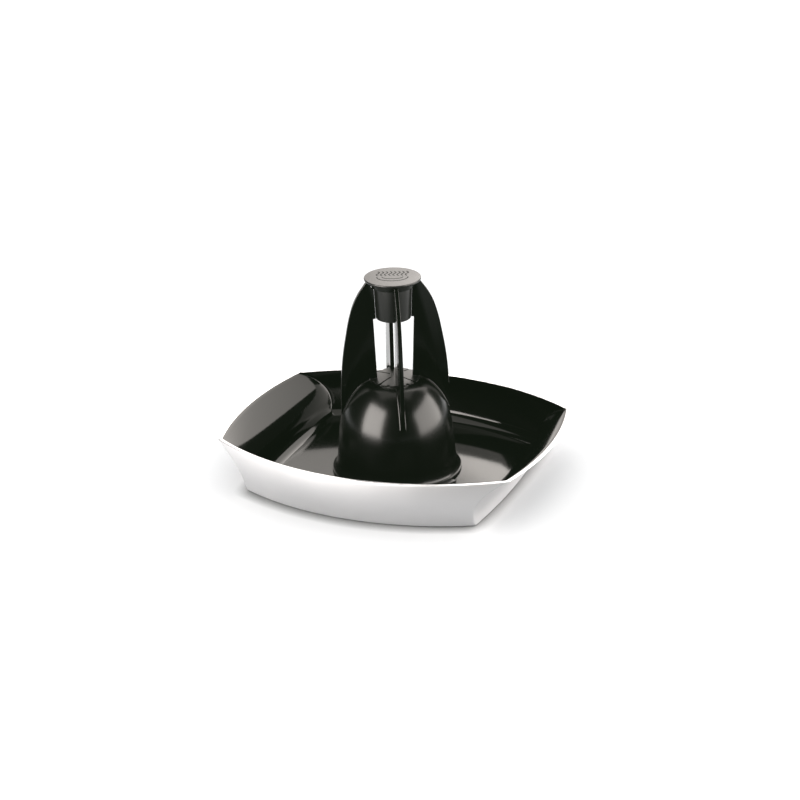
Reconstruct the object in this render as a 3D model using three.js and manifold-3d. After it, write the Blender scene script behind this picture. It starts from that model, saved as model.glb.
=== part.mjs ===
// A vertical infusion roaster for a whole bird, in millimetres, +Z up.
// An arc-sided cast pan holds a loose liquid cup under a steam bell. Four fins stand on the bell and
// carry a collar, and a tapered stopper with a wide cap plugs the collar.
// The origin is the middle of the pan's flat underside. +X runs along the pan's long side, -Y is its front.
import * as THREE from "three";
import { mergeVertices } from "three/addons/utils/BufferGeometryUtils.js";
import Module from "manifold-3d";

const wasm = await Module();
wasm.setup();

// ---- Driving dimensions ----
const GAP = 0.3; // clearance between pieces that rest on or fit in each other

const PAN = {
  height: 49.2,
  floor: 3, // thickness of the base
  wall: 4,
  frontApex: 139.1, // rim, from the middle to the crest of the front and back arcs
  frontDraft: 14.8, // how far those crests draw in from rim to base
  frontRadius: 269,
  endApex: 164.7, // rim, from the middle to the crest of the left and right arcs
  endDraft: 39.3,
  endFlare: 2.7, // exponent of the flare: the higher, the later the ends turn outwards
  endRadiusRim: 342,
  endRadiusBase: 826,
  footFillet: 9, // where the inner wall meets the floor
};
const RIB = { inner: 66.5, outer: 75, top: 8, middle: 45, span: 56 }; // middle and span in degrees

const BELL = {
  shell: 2.5,
  skirtRadius: 64.3,
  skirtEdge: 2, // height of the skirt's upright edge
  flareTop: 17,
  waistRadius: 59.3, // where the flare meets the tapered wall
  shoulder: 56, // height where the wall turns into the ogive
  shoulderRadius: 54.6,
  ogiveTop: 109.8, // where the ogive would close
  ogivePower: 1.66,
  mouthRadius: 20, // steam mouth under the crown
};
const CROWN = {
  radius: 24.8,
  top: 101.2,
  thickness: 2.6,
  spigot: 4, // how far its ring reaches into the bell
  slotInner: 6,
  slotWidth: 1.6,
  spigotWall: 2,
  notchRadius: 1.9, // steam notches around its edge
  notchOffsets: [-22, 0, 22], // degrees from each slot
  chamfer: 0.6,
};
const FIN = {
  thickness: 4,
  innerTop: 21.3, // distance of the inner edge from the axis, at the collar
  innerStep: 20, // just under the stopper, which sits in a notch of the inner edge
  innerBottom: 17.6,
  top: 200.6,
  azimuth: 30, // degrees from the front towards +X, for the first fin
};
const COLLAR = { bottom: 194.5, inner: 19.2, outer: 21 };
const STOPPER = { topRadius: 18.9, bottomRadius: 17.2, bottom: 161.7, recess: 11, recessDepth: 8 };
const CAP = { radius: 27.8, top: 204, thickness: 2.6, crown: 0.5, boss: 8, bossHeight: 6, pilot: 1.6 };
const CUP = { radius: 42, height: 34, wall: 1.2, bead: 1.6, foot: 4 };
const SCREW = { shank: 1.5, head: 4, headHeight: 2.4, washer: 7.5, washerThickness: 1 };

const ROUND = 48; // facets around the bell
const ROUND_SMALL = 32; // facets around the other turned pieces

// ---- Materials ----
const castAluminium = { color: 0xc9c9c7, roughness: 0.32, metalness: 1 };
const nonStick = { color: 0x14181a, roughness: 0.25, metalness: 0 };
const satinBlack = { color: 0x1e1e1c, roughness: 0.4, metalness: 0 };
const steel = { color: 0xb4b6b8, roughness: 0.3, metalness: 1 };
const silicone = { color: 0x2a2a2a, roughness: 0.7, metalness: 0 };

// ---- Helpers ----
function toSolid(geometry) {
  const bare = geometry.clone();
  bare.deleteAttribute("normal");
  bare.deleteAttribute("uv");
  const merged = mergeVertices(bare, 1e-4);
  return new wasm.Manifold(
    new wasm.Mesh({
      numProp: 3,
      vertProperties: new Float32Array(merged.attributes.position.array),
      triVerts: new Uint32Array(merged.index.array),
    }),
  );
}

function toGeometry(solid) {
  const mesh = solid.getMesh();
  const geometry = new THREE.BufferGeometry();
  geometry.setAttribute("position", new THREE.BufferAttribute(mesh.vertProperties, 3));
  geometry.setIndex(new THREE.BufferAttribute(mesh.triVerts, 1));
  geometry.computeVertexNormals();
  return geometry;
}

function piece(name, geometry, finish) {
  const mesh = new THREE.Mesh(geometry, new THREE.MeshStandardMaterial(finish));
  mesh.name = name;
  return mesh;
}

// A body turned about +Z from [radius, height] points that run anticlockwise around the section.
function turned(points, facets = ROUND_SMALL) {
  const profile = points.map(([radius, height]) => new THREE.Vector2(radius, height));
  return new THREE.LatheGeometry(profile, facets).rotateX(Math.PI / 2);
}

// A plate cut to an outline in the XZ plane, its thickness centred on Y = 0.
function plate(outline, thickness) {
  const shape = new THREE.Shape(outline.map(([x, z]) => new THREE.Vector2(x, z)));
  return new THREE.ExtrudeGeometry(shape, { depth: thickness, bevelEnabled: false })
    .translate(0, 0, -thickness / 2)
    .rotateX(Math.PI / 2);
}

// Turns a geometry built along +X to an azimuth, in degrees from the front (-Y) towards +X.
function facing(geometry, azimuth) {
  return geometry.rotateZ(THREE.MathUtils.degToRad(azimuth - 90));
}

// ---- Pan ----
// The two arcs that bound the pan's quarter outline at a height, drawn in by `inset`.
function panArcs(height, inset) {
  const up = height / PAN.height;
  const flare = 1 - up ** PAN.endFlare;
  const frontApex = PAN.frontApex - PAN.frontDraft * (1 - up) ** 2;
  const endApex = PAN.endApex - PAN.endDraft * flare;
  const endCurvature = (1 - flare) / PAN.endRadiusRim + flare / PAN.endRadiusBase;
  return {
    front: { centre: frontApex - PAN.frontRadius, radius: PAN.frontRadius - inset },
    end: { centre: endApex - 1 / endCurvature, radius: 1 / endCurvature - inset },
  };
}

// Where the front arc (centre on the Y axis) meets the end arc (centre on the X axis), for x, y > 0.
function panCorner({ front, end }) {
  const apart = Math.hypot(end.centre, front.centre);
  const along = (front.radius ** 2 - end.radius ** 2 + apart ** 2) / (2 * apart);
  const across = Math.sqrt(front.radius ** 2 - along ** 2);
  const towards = new THREE.Vector2(end.centre, -front.centre).divideScalar(apart);
  return new THREE.Vector2(
    along * towards.x + across * towards.y,
    front.centre + along * towards.y - across * towards.x,
  );
}

// One closed ring of points around the pan, anticlockwise from above, starting at the corner x > 0, y < 0.
function panRing(height, inset) {
  const arcs = panArcs(height, inset);
  const corner = panCorner(arcs);
  const halfEnd = Math.asin(corner.y / arcs.end.radius);
  const halfFront = Math.asin(corner.x / arcs.front.radius);
  const stepsEnd = 12;
  const stepsFront = 16;
  const ring = [];
  const right = (angle) => [
    arcs.end.centre + arcs.end.radius * Math.cos(angle),
    arcs.end.radius * Math.sin(angle),
  ];
  const back = (angle) => [
    -arcs.front.radius * Math.sin(angle),
    arcs.front.centre + arcs.front.radius * Math.cos(angle),
  ];
  for (const side of [1, -1]) {
    for (let i = 0; i < stepsEnd; i++) {
      const [x, y] = right(halfEnd * ((2 * i) / stepsEnd - 1));
      ring.push(new THREE.Vector3(side * x, side * y, height));
    }
    for (let i = 0; i < stepsFront; i++) {
      const [x, y] = back(halfFront * ((2 * i) / stepsFront - 1));
      ring.push(new THREE.Vector3(side * x, side * y, height));
    }
  }
  return ring;
}

// A closed skin over a stack of rings: each ring joins the next, and both ends close on a centre point.
function skin(rings) {
  const around = rings[0].length;
  const positions = rings.flat().flatMap((point) => point.toArray());
  const faces = [];
  for (let r = 0; r + 1 < rings.length; r++) {
    for (let i = 0; i < around; i++) {
      const a = r * around + i;
      const b = r * around + ((i + 1) % around);
      faces.push(a, b, b + around, a, b + around, a + around);
    }
  }
  const last = (rings.length - 1) * around;
  const centre = rings.length * around;
  positions.push(0, 0, rings[0][0].z, 0, 0, rings.at(-1)[0].z);
  for (let i = 0; i < around; i++) {
    const next = (i + 1) % around;
    faces.push(centre, next, i, centre + 1, last + i, last + next);
  }
  const geometry = new THREE.BufferGeometry();
  geometry.setAttribute("position", new THREE.Float32BufferAttribute(positions, 3));
  geometry.setIndex(faces);
  return geometry;
}

function panShell() {
  const outside = [0, 0.1, 0.25, 0.42, 0.6, 0.78, 0.9, 1].map((share) => panRing(PAN.height * share, 0));
  const wallFoot = PAN.floor + PAN.footFillet;
  const inside = [1, 0.9, 0.76, 0.58, 0.4].map((share) =>
    panRing(wallFoot + (PAN.height - wallFoot) * (share - 0.4) / 0.6, PAN.wall),
  );
  const fillet = [30, 60, 90].map((degrees) => {
    const turn = THREE.MathUtils.degToRad(degrees);
    return panRing(
      wallFoot - PAN.footFillet * Math.sin(turn),
      PAN.wall + PAN.footFillet * (1 - Math.cos(turn)),
    );
  });
  return skin([...outside, ...inside, ...fillet]);
}

// A low arc rib that keeps the bell's skirt in the middle of the floor.
function locatingRib(azimuth) {
  const start = THREE.MathUtils.degToRad(azimuth - RIB.span / 2 - 90);
  const end = THREE.MathUtils.degToRad(azimuth + RIB.span / 2 - 90);
  const shape = new THREE.Shape();
  shape.absarc(0, 0, RIB.outer, start, end, false);
  shape.absarc(0, 0, RIB.inner, end, start, true);
  const buried = 1;
  return new THREE.ExtrudeGeometry(shape, {
    depth: RIB.top - PAN.floor + buried,
    bevelEnabled: false,
    curveSegments: 12,
  }).translate(0, 0, PAN.floor - buried);
}

function roastingPan() {
  const ribs = [RIB.middle, RIB.middle + 180].map((azimuth) => toSolid(locatingRib(azimuth)));
  const pan = ribs.reduce((body, rib) => body.add(rib), toSolid(panShell()));
  return piece("roasting_pan", toGeometry(pan), castAluminium);
}

// ---- Liquid cup ----
function liquidCup() {
  const bottom = PAN.floor + GAP;
  const top = bottom + CUP.height;
  const inner = CUP.radius - CUP.wall;
  const profile = [
    [0, bottom],
    [CUP.radius - CUP.foot, bottom],
    [CUP.radius - CUP.foot * 0.3, bottom + CUP.foot * 0.3],
    [CUP.radius, bottom + CUP.foot],
    [CUP.radius, top - CUP.bead],
    [CUP.radius + CUP.bead, top - CUP.bead],
    [CUP.radius + CUP.bead, top],
    [inner, top],
    [inner, bottom + CUP.foot],
    [inner - CUP.foot * 0.2, bottom + CUP.wall + CUP.foot * 0.2],
    [inner - CUP.foot * 0.8, bottom + CUP.wall],
    [0, bottom + CUP.wall],
  ];
  return piece("liquid_cup", turned(profile), steel);
}

// ---- Steam bell ----
// Radius of the bell's outer face at a height above the shoulder.
function ogiveRadius(height) {
  const up = (height - BELL.shoulder) / (BELL.ogiveTop - BELL.shoulder);
  return BELL.shoulderRadius * (1 - up ** BELL.ogivePower) ** (1 / BELL.ogivePower);
}

const BELL_CUT = CROWN.top - CROWN.thickness - GAP; // the bell's flat top, under the crown

// The bell's outer face from the skirt up to its flat top, drawn in by `inset`.
function bellFace(inset) {
  const base = PAN.floor + GAP;
  const edge = base + BELL.skirtEdge;
  const flare = BELL.skirtRadius - BELL.waistRadius;
  const face = [];
  for (let i = 0; i <= 4; i++) {
    const turn = (i / 4) * (Math.PI / 2);
    face.push([
      BELL.skirtRadius - flare * Math.sin(turn) - inset,
      BELL.flareTop - (BELL.flareTop - edge) * Math.cos(turn),
    ]);
  }
  for (let i = 0; i <= 9; i++) {
    const share = Math.sin((i / 9) * (Math.PI / 2));
    const height = BELL.shoulder + (BELL_CUT - BELL.shoulder) * share;
    face.push([ogiveRadius(height) - inset, height]);
  }
  return face;
}

function infuserDome() {
  const base = PAN.floor + GAP;
  const outer = bellFace(0);
  const inner = bellFace(BELL.shell).slice(0, -1).reverse();
  const underTop = BELL_CUT - BELL.shell;
  const profile = [
    [BELL.skirtRadius - BELL.shell, base],
    [BELL.skirtRadius, base],
    ...outer,
    [BELL.mouthRadius, BELL_CUT],
    [BELL.mouthRadius, underTop],
    ...inner.filter(([, height]) => height < underTop),
    [BELL.skirtRadius - BELL.shell, base],
  ];
  return piece("infuser_dome", turned(profile, ROUND), nonStick);
}

function ventCrown() {
  const underside = CROWN.top - CROWN.thickness;
  const spigotOuter = BELL.mouthRadius - GAP;
  const spigotInner = spigotOuter - CROWN.spigotWall;
  const disc = toSolid(
    turned([
      [0, underside],
      [spigotInner, underside],
      [spigotInner, underside - CROWN.spigot],
      [spigotOuter, underside - CROWN.spigot],
      [spigotOuter, underside],
      [CROWN.radius, underside],
      [CROWN.radius, CROWN.top - CROWN.chamfer],
      [CROWN.radius - CROWN.chamfer, CROWN.top],
      [0, CROWN.top],
    ]),
  );
  const cuts = [];
  for (let quarter = 0; quarter < 4; quarter++) {
    const middle = FIN.azimuth + 45 + quarter * 90;
    const slot = new THREE.BoxGeometry(CROWN.radius, CROWN.slotWidth, 4 * CROWN.thickness);
    slot.translate(CROWN.slotInner + CROWN.radius / 2, 0, underside);
    cuts.push(facing(slot, middle));
    for (const offset of CROWN.notchOffsets) {
      const deep = 4 * CROWN.thickness;
      const notch = new THREE.CylinderGeometry(CROWN.notchRadius, CROWN.notchRadius, deep, 10);
      notch.rotateX(Math.PI / 2).translate(CROWN.radius, 0, underside);
      cuts.push(facing(notch, middle + offset));
    }
  }
  const crown = cuts.reduce((body, cut) => body.subtract(toSolid(cut)), disc);
  return piece("vent_crown", toGeometry(crown), nonStick);
}

// ---- Fins and collar ----
const CAP_UNDER = CAP.top - CAP.crown - CAP.thickness;

// Radius of the tapered stopper at a height.
function stopperRadius(height) {
  const share = (height - STOPPER.bottom) / (CAP_UNDER - GAP - STOPPER.bottom);
  return STOPPER.bottomRadius + (STOPPER.topRadius - STOPPER.bottomRadius) * share;
}

// One fin's outline as [distance from the axis, height]: it stands on the crown's edge, steps down onto the
// bell's shoulder, and its outer edge sweeps up and in to the collar. Its inner edge is cut out for the
// tapered stopper, so that the four fins cradle it.
function finOutline() {
  const seat = bellFace(-GAP).filter(([, height]) => height > BELL.shoulder);
  const foot = seat[0][1];
  const sweep = new THREE.SplineCurve(
    [
      [54, foot],
      [53.6, 88],
      [52.4, 110],
      [50.2, 129],
      [47.1, 147],
      [44.1, 162],
      [39.8, 176.6],
      [34.8, 187],
      [30.4, 193.6],
      [25.4, FIN.top],
    ].map(([r, z]) => new THREE.Vector2(r, z)),
  ).getPoints(20);
  const crownEdge = CROWN.radius + GAP;
  return [
    ...sweep.map(({ x, y }) => [x, y]),
    [FIN.innerTop, FIN.top],
    [FIN.innerTop, COLLAR.bottom - 1],
    [stopperRadius(COLLAR.bottom - 1) + GAP, COLLAR.bottom - 1],
    [STOPPER.bottomRadius + GAP, STOPPER.bottom],
    [FIN.innerStep, STOPPER.bottom],
    [FIN.innerBottom, CROWN.top + GAP],
    [crownEdge, CROWN.top + GAP],
    [crownEdge, BELL_CUT + GAP],
    [seat.at(-1)[0], BELL_CUT + GAP],
    ...seat.reverse(),
  ];
}

function fins() {
  return ["front", "right", "rear", "left"].map((side, quarter) => {
    const blade = plate(finOutline(), FIN.thickness);
    return piece(`fin_${side}`, facing(blade, FIN.azimuth + 90 * quarter), nonStick);
  });
}

function stopperCollar() {
  const profile = [
    [COLLAR.inner, COLLAR.bottom],
    [COLLAR.outer, COLLAR.bottom],
    [COLLAR.outer, FIN.top],
    [COLLAR.inner, FIN.top],
    [COLLAR.inner, COLLAR.bottom],
  ];
  return piece("stopper_collar", turned(profile), nonStick);
}

// ---- Stopper ----
function stopperBody() {
  const top = CAP_UNDER - GAP;
  const roof = top - STOPPER.recessDepth - CAP.bossHeight;
  const profile = [
    [SCREW.shank + GAP, STOPPER.bottom + STOPPER.recessDepth],
    [STOPPER.recess, STOPPER.bottom + STOPPER.recessDepth],
    [STOPPER.recess, STOPPER.bottom],
    [STOPPER.bottomRadius - 1, STOPPER.bottom],
    [STOPPER.bottomRadius, STOPPER.bottom + 1],
    [STOPPER.topRadius, top],
    [CAP.boss + GAP, top],
    [CAP.boss + GAP, roof],
    [SCREW.shank + GAP, roof],
    [SCREW.shank + GAP, STOPPER.bottom + STOPPER.recessDepth],
  ];
  return piece("stopper_body", turned(profile), satinBlack);
}

function stopperCap() {
  const bossEnd = CAP_UNDER - CAP.bossHeight - STOPPER.recessDepth + 1;
  const profile = [
    [0, CAP_UNDER - CAP.bossHeight],
    [CAP.pilot, CAP_UNDER - CAP.bossHeight],
    [CAP.pilot, bossEnd],
    [CAP.boss, bossEnd],
    [CAP.boss, CAP_UNDER],
    [CAP.radius - 0.8, CAP_UNDER],
    [CAP.radius, CAP_UNDER + 0.8],
    [CAP.radius, CAP_UNDER + CAP.thickness - 0.9],
    [CAP.radius - 0.9, CAP_UNDER + CAP.thickness],
    [CAP.radius * 0.6, CAP.top - CAP.crown * 0.25],
    [0, CAP.top],
  ];
  return piece("stopper_cap", turned(profile), satinBlack);
}

function stopperWasher() {
  const top = STOPPER.bottom + STOPPER.recessDepth - GAP;
  const profile = [
    [SCREW.shank + GAP, top - SCREW.washerThickness],
    [SCREW.washer, top - SCREW.washerThickness],
    [SCREW.washer, top],
    [SCREW.shank + GAP, top],
    [SCREW.shank + GAP, top - SCREW.washerThickness],
  ];
  return piece("stopper_washer", turned(profile), silicone);
}

function stopperScrew() {
  const headTop = STOPPER.bottom + STOPPER.recessDepth - SCREW.washerThickness - 2 * GAP;
  const profile = [
    [0, headTop - SCREW.headHeight],
    [SCREW.head - 0.8, headTop - SCREW.headHeight],
    [SCREW.head, headTop - SCREW.headHeight + 0.8],
    [SCREW.head, headTop],
    [SCREW.shank - 0.2, headTop],
    [SCREW.shank - 0.2, CAP_UNDER - CAP.bossHeight - 1],
    [0, CAP_UNDER - CAP.bossHeight - 1],
  ];
  return piece("stopper_screw", turned(profile), steel);
}

// ---- Assembly ----
const roaster = new THREE.Group();
roaster.add(roastingPan(), liquidCup());
roaster.add(infuserDome(), ventCrown(), ...fins(), stopperCollar());
roaster.add(stopperBody(), stopperCap(), stopperWasher(), stopperScrew());

export default roaster;
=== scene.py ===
import math

import bmesh
import bpy
from bpy.props import FloatProperty, FloatVectorProperty, IntProperty, PointerProperty
from mathutils import Matrix, Vector


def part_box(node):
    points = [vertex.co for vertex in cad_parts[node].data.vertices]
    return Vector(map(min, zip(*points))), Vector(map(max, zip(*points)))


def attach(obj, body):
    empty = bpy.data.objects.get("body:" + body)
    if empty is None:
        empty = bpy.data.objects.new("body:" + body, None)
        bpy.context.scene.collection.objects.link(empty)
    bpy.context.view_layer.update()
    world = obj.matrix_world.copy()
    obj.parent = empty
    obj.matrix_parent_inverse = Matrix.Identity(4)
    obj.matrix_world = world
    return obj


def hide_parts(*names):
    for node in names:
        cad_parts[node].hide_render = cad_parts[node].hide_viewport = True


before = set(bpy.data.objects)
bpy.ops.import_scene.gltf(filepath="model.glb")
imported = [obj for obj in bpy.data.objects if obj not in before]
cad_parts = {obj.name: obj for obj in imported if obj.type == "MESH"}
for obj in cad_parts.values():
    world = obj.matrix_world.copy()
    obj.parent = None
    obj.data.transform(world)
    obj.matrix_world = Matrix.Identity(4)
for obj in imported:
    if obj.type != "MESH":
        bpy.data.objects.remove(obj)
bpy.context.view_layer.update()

bl_info = {
    "name": "Vertical infusion roaster",
    "version": (1, 0, 0),
    "blender": (4, 5, 0),
    "location": "3D View > Sidebar > Roaster",
    "description": "Builds the pan, steam bell, fins and stopper of a vertical roaster around its CAD frame",
    "category": "Add Mesh",
}

MM = 0.001
PAN_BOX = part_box("roasting_pan")
BELL_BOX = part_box("infuser_dome")
CROWN_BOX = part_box("vent_crown")
COLLAR_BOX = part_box("stopper_collar")
PLUG_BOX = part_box("stopper_body")
CAP_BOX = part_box("stopper_cap")
WASHER_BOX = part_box("stopper_washer")
SCREW_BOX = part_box("stopper_screw")
CUP_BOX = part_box("liquid_cup")
FIN_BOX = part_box("fin_front")

FIN_TURN = math.radians(30)  # the first fin points this far from the front (-Y) towards +X
QUARTER = math.pi / 2
CREASE = 35  # degrees between two faces from which their shared edge is drawn sharp
CLEAR = 0.3 * MM  # gap between neighbouring pieces


def linear(hex_colour):
    """A colour written as sRGB hex, in Blender's linear values."""
    channels = [int(hex_colour[i:i + 2], 16) / 255 for i in (1, 3, 5)]
    return [c / 12.92 if c <= 0.04045 else ((c + 0.055) / 1.055) ** 2.4 for c in channels]


# ---------------------------------------------------------------- Properties


class RoasterSizes(bpy.types.PropertyGroup):
    """Sizes of the visible shapes. Where the frame fixes a size, the default comes from it."""

    pan_wall: FloatProperty(name="Pan wall", description="Thickness of the cast wall at the rim",
                            default=4 * MM, unit="LENGTH")
    pan_floor: FloatProperty(name="Pan floor", description="Height of the cooking floor",
                             default=3 * MM, unit="LENGTH")
    pan_foot: FloatProperty(name="Foot fillet", description="Radius where the inner wall meets the floor",
                            default=11 * MM, unit="LENGTH")
    pan_corner: FloatProperty(name="Corner radius", description="Rounding of the four upright seams",
                              default=1.3 * MM, unit="LENGTH")
    lining: FloatProperty(name="Lining", description="Thickness of the non-stick coat as drawn",
                          default=0.12 * MM, unit="LENGTH")
    bell_shell: FloatProperty(name="Bell shell", description="Wall of the steam bell",
                              default=2.5 * MM, unit="LENGTH")
    fin_thickness: FloatProperty(name="Fin thickness", description="Thickness of each upright fin",
                                 default=4 * MM, unit="LENGTH")
    fin_edge: FloatProperty(name="Fin edge", description="Rounding along the fins' edges",
                            default=1.9 * MM, unit="LENGTH")
    weld: FloatProperty(name="Weld bead", description="Radius of the bead between fin and bell",
                        default=1.0 * MM, unit="LENGTH")
    facets: IntProperty(name="Facets", description="Steps around each turned piece", default=128)


class RoasterColours(bpy.types.PropertyGroup):
    """Colours of the finishes."""

    aluminium: FloatVectorProperty(name="Cast aluminium", description="Satin outside of the pan",
                                   subtype="COLOR", size=3, default=linear("#DADBDD"))
    coating: FloatVectorProperty(name="Non-stick", description="Black coat of pan, bell and fins",
                                 subtype="COLOR", size=3, default=linear("#040604"))
    anodised: FloatVectorProperty(name="Stopper black", description="Black anodised stopper",
                                  subtype="COLOR", size=3, default=linear("#131312"))
    steel: FloatVectorProperty(name="Steel", description="Liquid cup and screw",
                               subtype="COLOR", size=3, default=linear("#C4C4C3"))
    silicone: FloatVectorProperty(name="Seal", description="Washer under the plug",
                                  subtype="COLOR", size=3, default=linear("#121211"))


class RoasterStudio(bpy.types.PropertyGroup):
    """The camera. The lamps and the backdrop turn with its azimuth."""

    azimuth: FloatProperty(name="Azimuth", description="Camera's turn from the front towards +X",
                           subtype="ANGLE", default=math.radians(22.72))
    elevation: FloatProperty(name="Elevation", description="Camera's height over the horizon",
                             subtype="ANGLE", default=math.radians(22.80))
    roll: FloatProperty(name="Roll", description="Camera's lean", subtype="ANGLE",
                        default=math.radians(1.38))
    distance: FloatProperty(name="Distance", description="Camera to the aim point", unit="LENGTH",
                            default=2.1929)
    lens: FloatProperty(name="Lens", description="Focal length in millimetres", default=100.0)
    aim: FloatVectorProperty(name="Aim", description="Point the camera looks at", subtype="XYZ",
                             unit="LENGTH", size=3, default=(0.0041, 0.0017, 0.0742))


# ---------------------------------------------------------------- Mesh helpers


def loose_object(bm, name):
    """Turns a bmesh into an object that rides nothing yet."""
    mesh = bpy.data.meshes.new(name)
    bm.to_mesh(mesh)
    bm.free()
    made = bpy.data.objects.new(name, mesh)
    bpy.context.scene.collection.objects.link(made)
    return made


def smoothed(mesh, crease=CREASE):
    """Shades a mesh smooth, apart from its creases."""
    mesh.shade_smooth()
    mesh.set_sharp_from_angle(angle=math.radians(crease))


def finished(bm, name, body, material, nodes, crease=CREASE):
    """Turns a bmesh into a piece that rides a body, wears one material and replaces CAD nodes."""
    bmesh.ops.recalc_face_normals(bm, faces=bm.faces)
    piece = loose_object(bm, name)
    smoothed(piece.data, crease)
    piece.data.materials.append(material)
    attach(piece, body)
    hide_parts(*nodes)
    return piece


def carve(piece, cutter_bm, edge=0):
    """Cuts a bmesh's shape out of a piece. Given a width, it also softens the edges that are left."""
    cutter = loose_object(cutter_bm, f"{piece.name}_cutter")
    cut = piece.modifiers.new("cut", "BOOLEAN")
    cut.operation, cut.solver, cut.object, cut.use_self = "DIFFERENCE", "EXACT", cutter, True
    if edge:
        soft = piece.modifiers.new("edges", "BEVEL")
        soft.width, soft.segments, soft.limit_method = edge, 2, "ANGLE"
        soft.angle_limit = math.radians(50)
    evaluated = piece.evaluated_get(bpy.context.evaluated_depsgraph_get())
    mesh = bpy.data.meshes.new_from_object(evaluated)
    piece.modifiers.clear()
    piece.data = mesh
    smoothed(mesh)
    bpy.data.objects.remove(cutter)


def rounded(corners, steps=5):
    """A path through (r, z, radius) corners, each rounded by an arc of its radius. Ends stay sharp."""
    path = []
    for i, (r, z, radius) in enumerate(corners):
        here = Vector((r, z))
        if radius == 0 or i in (0, len(corners) - 1):
            path.append(here)
            continue
        before = Vector(corners[i - 1][:2]) - here
        after = Vector(corners[i + 1][:2]) - here
        half = before.angle(after) / 2
        reach = radius / math.tan(half)
        start = here + before.normalized() * reach
        end = here + after.normalized() * reach
        centre = here + (before.normalized() + after.normalized()).normalized() * (radius / math.sin(half))
        sweep = (start - centre).angle_signed(end - centre)
        for k in range(steps + 1):
            path.append(centre + Matrix.Rotation(-sweep * k / steps, 2) @ (start - centre))
    return path


def turned(path, facets, closed=False):
    """A bmesh spun a full turn about Z from (r, z) points."""
    bm = bmesh.new()
    verts = [bm.verts.new((r, 0, z)) for r, z in path]
    pairs = list(zip(verts, verts[1:])) + ([(verts[-1], verts[0])] if closed else [])
    edges = [bm.edges.new(pair) for pair in pairs]
    bmesh.ops.spin(bm, geom=verts + edges, axis=(0, 0, 1), cent=(0, 0, 0), angle=math.tau,
                   steps=facets, use_merge=True, use_normal_flip=False)
    bmesh.ops.remove_doubles(bm, verts=bm.verts, dist=1e-7)
    return bm


def tubes(name, lines, radius, resolution):
    """A bmesh of round tubes with closed ends, one along each line of points."""
    curve = bpy.data.curves.new(name, "CURVE")
    curve.dimensions = "3D"
    curve.bevel_depth, curve.bevel_resolution, curve.use_fill_caps = radius, resolution, True
    for line in lines:
        spline = curve.splines.new("POLY")
        spline.points.add(len(line) - 1)
        for target, point in zip(spline.points, line):
            target.co = (*point, 1)
    holder = bpy.data.objects.new(f"{name}_curve", curve)
    bpy.context.scene.collection.objects.link(holder)
    mesh = bpy.data.meshes.new_from_object(holder.evaluated_get(bpy.context.evaluated_depsgraph_get()))
    bpy.data.objects.remove(holder)
    bm = bmesh.new()
    bm.from_mesh(mesh)
    return bm


def facing(angle):
    """The turn that brings +X to an angle counted from the front (-Y) towards +X."""
    return Matrix.Rotation(angle - QUARTER, 4, "Z")


def direction(azimuth, elevation=0.0):
    """The unit vector at an angle from the front (-Y) towards +X and an angle over the horizon."""
    level = math.cos(elevation)
    return Vector((math.sin(azimuth) * level, -math.cos(azimuth) * level, math.sin(elevation)))


def add_box(bm, size, middle, turn):
    """Adds a box of a size to a bmesh, moved to a middle and then turned."""
    made = bmesh.ops.create_cube(bm, size=1.0)["verts"]
    place = turn @ Matrix.Translation(middle) @ Matrix.Diagonal((*size, 1))
    bmesh.ops.transform(bm, matrix=place, verts=made)


# ---------------------------------------------------------------- Pan shape

PAN_H = PAN_BOX[1][2]
PAN_FRONT = PAN_BOX[1][1]  # rim crest of the front and back arcs
PAN_END = PAN_BOX[1][0]  # rim crest of the left and right arcs
FRONT_DRAFT = 14.8 * MM  # how far the front and back lean out from base to rim
FRONT_RADIUS = 269 * MM
END_DRAFT = 39.3 * MM  # the same for the two ends
END_FLARE = 2.7  # power of height by which the ends curve out
END_RADIUS_RIM = 342 * MM
END_RADIUS_BASE = 826 * MM


def pan_arcs(height, inset):
    """Centre and radius of the front arc and of the end arc at a height, drawn in by an inset."""
    up = height / PAN_H
    flare = 1 - up ** END_FLARE
    front = PAN_FRONT - FRONT_DRAFT * (1 - up) ** 2
    end = PAN_END - END_DRAFT * flare
    end_radius = 1 / ((1 - flare) / END_RADIUS_RIM + flare / END_RADIUS_BASE)
    return (front - FRONT_RADIUS, FRONT_RADIUS - inset), (end - end_radius, end_radius - inset)


def pan_ring(height, inset, front_steps=56, end_steps=36):
    """Points around the pan at a height, with the index of each corner."""
    (front_centre, front_radius), (end_centre, end_radius) = pan_arcs(height, inset)
    apart = math.hypot(end_centre, front_centre)
    along = (front_radius ** 2 - end_radius ** 2 + apart ** 2) / (2 * apart)
    across = math.sqrt(front_radius ** 2 - along ** 2)
    towards = Vector((end_centre, -front_centre)) / apart
    corner = Vector((along * towards.x + across * towards.y,
                     front_centre + along * towards.y - across * towards.x))
    half_end = math.asin(corner.y / end_radius)
    half_front = math.asin(corner.x / front_radius)
    points = []
    for side in (1, -1):
        for i in range(end_steps):
            angle = half_end * (2 * i / end_steps - 1)
            points.append((side * (end_centre + end_radius * math.cos(angle)),
                           side * end_radius * math.sin(angle), height))
        for i in range(front_steps):
            angle = half_front * (2 * i / front_steps - 1)
            points.append((-side * front_radius * math.sin(angle),
                           side * (front_centre + front_radius * math.cos(angle)), height))
    corners = (0, end_steps, end_steps + front_steps, 2 * end_steps + front_steps)
    return points, corners


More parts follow.
